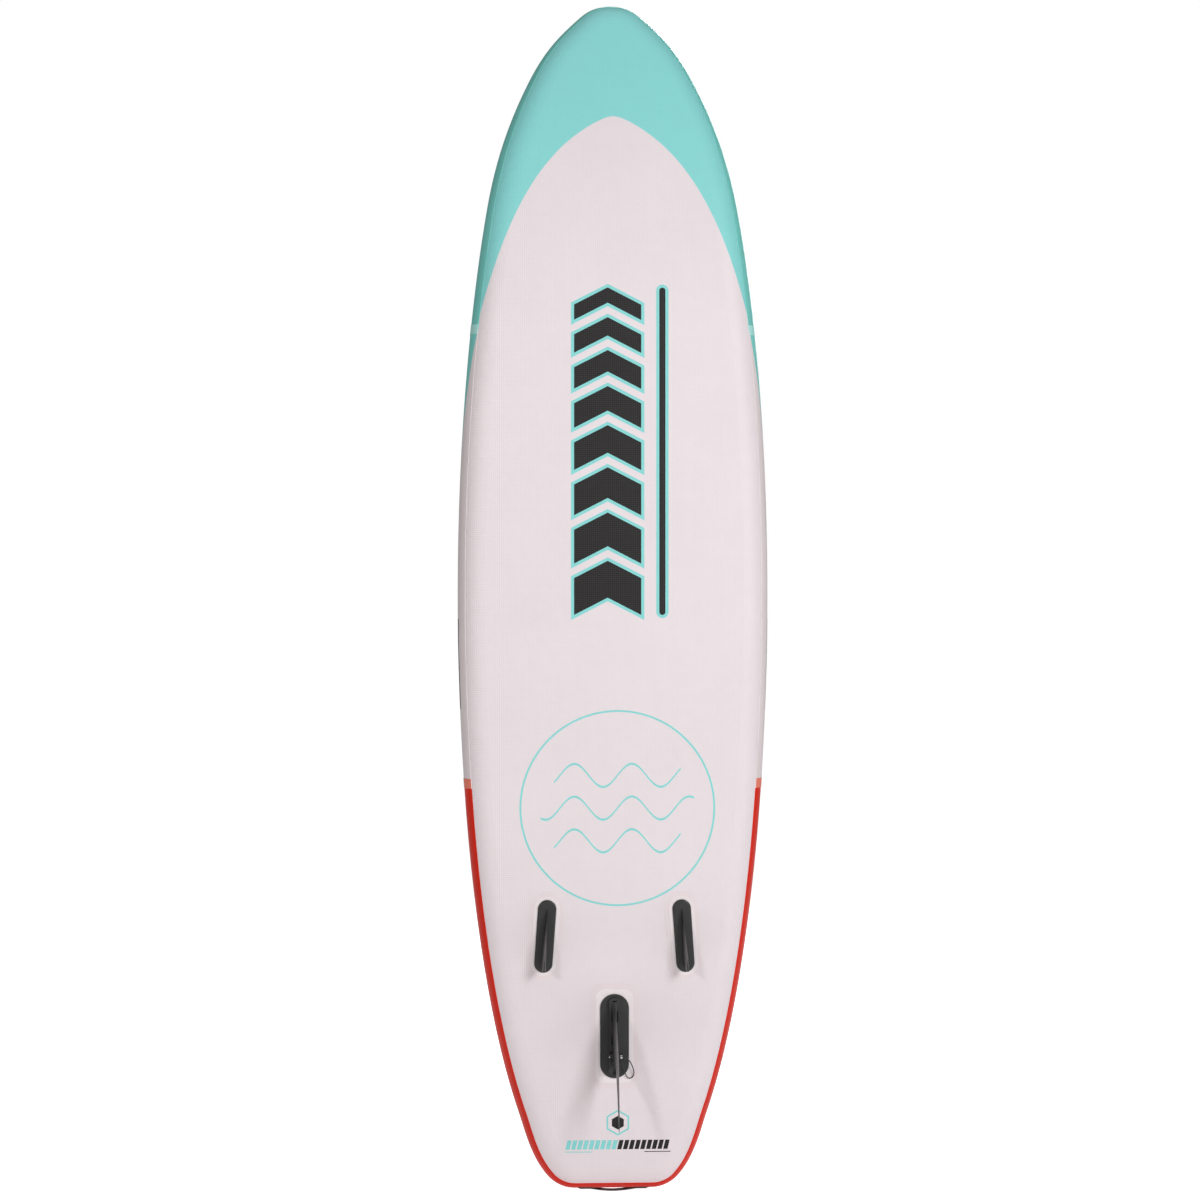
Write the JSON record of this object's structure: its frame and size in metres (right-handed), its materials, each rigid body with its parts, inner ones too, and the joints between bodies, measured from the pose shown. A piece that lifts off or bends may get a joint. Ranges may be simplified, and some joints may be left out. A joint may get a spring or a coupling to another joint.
{
  "type": "stand up paddleboard",
  "caption": "Inflatable stand up paddleboard with taped rails, slide-in centre fin, side fins, deck pad, valve, carry handle, cargo cord and rings.",
  "frame": {"origin": "middle of the tail's end, half way between hull and deck", "axes": "+Z along the board to the nose, +Y out of the deck, +X to the right for someone facing the hull"},
  "size_m": [0.813, 0.4832, 3.1258],
  "materials": {
    "pvc_white": "coated fabric, satin",
    "pvc_deck": "coated fabric, satin",
    "pvc_turquoise": "coated fabric, satin",
    "pvc_red": "coated fabric, satin",
    "pvc_turquoise_pale": "coated fabric, satin",
    "pvc_red_pale": "coated fabric, satin",
    "pvc_clear": "clear film, gloss",
    "pvc_flange": "moulded, gloss",
    "pvc_black": "coated fabric, satin",
    "webbing_black": "woven",
    "neoprene": "foam with knitted face",
    "eva_foam": "brushed foam",
    "bungee": "braided",
    "cord_black": "braided",
    "polyester_yarn": "thread",
    "nylon_black": "moulded",
    "nylon_fin": "moulded",
    "tpu_fin": "moulded",
    "valve_grey": "moulded",
    "seal_rubber": "moulded",
    "stainless": "polished wire"
  },
  "bodies": {
    "board": {"hull_skin": "pvc_white", "rail_tape_left": "pvc_white", "rail_tape_right": "pvc_white", "deck_skin": "pvc_deck", "side_wall": "pvc_deck", "rail_tape_nose": "pvc_turquoise", "rail_tape_tail": "pvc_red", "tape_joints_nose": "pvc_turquoise_pale", "tape_joints_tail": "pvc_red_pale", "fin_box_patch": "pvc_clear", "side_fin_patches": "pvc_clear", "fin_box_flange": "pvc_flange", "side_fin_flanges": "pvc_flange", "tail_handle_patches": "pvc_black", "nose_handle_patches": "pvc_black", "carry_handle_patches": "pvc_black", "cargo_patches": "pvc_black", "leash_ring_patch": "pvc_black", "tow_ring_patch": "pvc_black", "seat_ring_patches": "pvc_black", "tail_handle_strap": "webbing_black", "nose_handle_strap": "webbing_black", "carry_handle_strap": "webbing_black", "cargo_loops": "webbing_black", "leash_ring_loop": "webbing_black", "tow_ring_loop": "webbing_black", "seat_ring_loops": "webbing_black", "carry_handle_grip": "neoprene", "deck_pad": "eva_foam", "kick_pad": "eva_foam", "bungee_cord": "bungee", "drop_stitch_yarns": "polyester_yarn", "fin_box": "nylon_black", "bungee_lock": "nylon_black", "valve_body": "nylon_black", "valve_nut": "nylon_black", "side_fin_left": "tpu_fin", "side_fin_right": "tpu_fin", "valve_tether": "valve_grey", "valve_gasket": "seal_rubber", "valve_spring": "stainless", "valve_hinge_pin": "stainless"},
    "fin": {"center_fin": "nylon_fin"},
    "lock_pin": {"fin_pin": "stainless", "pin_cord": "cord_black"},
    "leash_ring_body": {"leash_ring": "stainless"},
    "tow_ring_body": {"tow_ring": "stainless"},
    "seat_ring_body_1": {"seat_ring_1": "stainless"},
    "seat_ring_body_2": {"seat_ring_2": "stainless"},
    "seat_ring_body_3": {"seat_ring_3": "stainless"},
    "seat_ring_body_4": {"seat_ring_4": "stainless"},
    "poppet": {"valve_poppet": "nylon_black", "valve_seal": "seal_rubber"},
    "button": {"valve_button": "nylon_black"},
    "cap": {"valve_cap": "valve_grey"}
  },
  "joints": [
    {"name": "fin_slide", "type": "slide", "parent": "board", "child": "fin", "axis": [0, 0, -1], "range_m": [0, 0.024]},
    {"name": "pin_pull", "type": "slide", "parent": "board", "child": "lock_pin", "axis": [1, 0, 0], "range_m": [0, 0.072]},
    {"name": "leash_ring_swing", "type": "hinge", "parent": "board", "child": "leash_ring_body", "pos_m": [0, 0.08048, 0.15], "axis": [1, 0, 0], "range_deg": [0, 150]},
    {"name": "tow_ring_swing", "type": "hinge", "parent": "board", "child": "tow_ring_body", "pos_m": [0, 0.13572, 2.78587], "axis": [1, 0, 0], "range_deg": [-10, 138]},
    {"name": "seat_ring_swing_1", "type": "hinge", "parent": "board", "child": "seat_ring_body_1", "pos_m": [-0.3065, 0.08048, 1.12], "axis": [1, 0, 0], "range_deg": [0, 150]},
    {"name": "seat_ring_swing_2", "type": "hinge", "parent": "board", "child": "seat_ring_body_2", "pos_m": [0.3065, 0.08048, 1.12], "axis": [1, 0, 0], "range_deg": [0, 150]},
    {"name": "seat_ring_swing_3", "type": "hinge", "parent": "board", "child": "seat_ring_body_3", "pos_m": [-0.3065, 0.08048, 1.7], "axis": [1, 0, 0], "range_deg": [0, 150]},
    {"name": "seat_ring_swing_4", "type": "hinge", "parent": "board", "child": "seat_ring_body_4", "pos_m": [0.3065, 0.08048, 1.7], "axis": [1, 0, 0], "range_deg": [0, 150]},
    {"name": "poppet_push", "type": "slide", "parent": "board", "child": "poppet", "axis": [0, -1, 0], "range_m": [0, 0.005], "stiffness_N_per_m": 200, "springref_m": -0.01},
    {"name": "button_turn", "type": "hinge", "parent": "poppet", "child": "button", "pos_m": [0, 0.075, 0.25], "axis": [0, 1, 0], "range_deg": [0, 90]},
    {"name": "cap_hinge", "type": "hinge", "parent": "board", "child": "cap", "pos_m": [-0.042, 0.083, 0.25], "axis": [0, 0, 1], "range_deg": [0, 150]}
  ],
  "couplings": [
    {"joint": "pin_pull", "follows": "fin_slide", "ratio": 3}
  ]
}
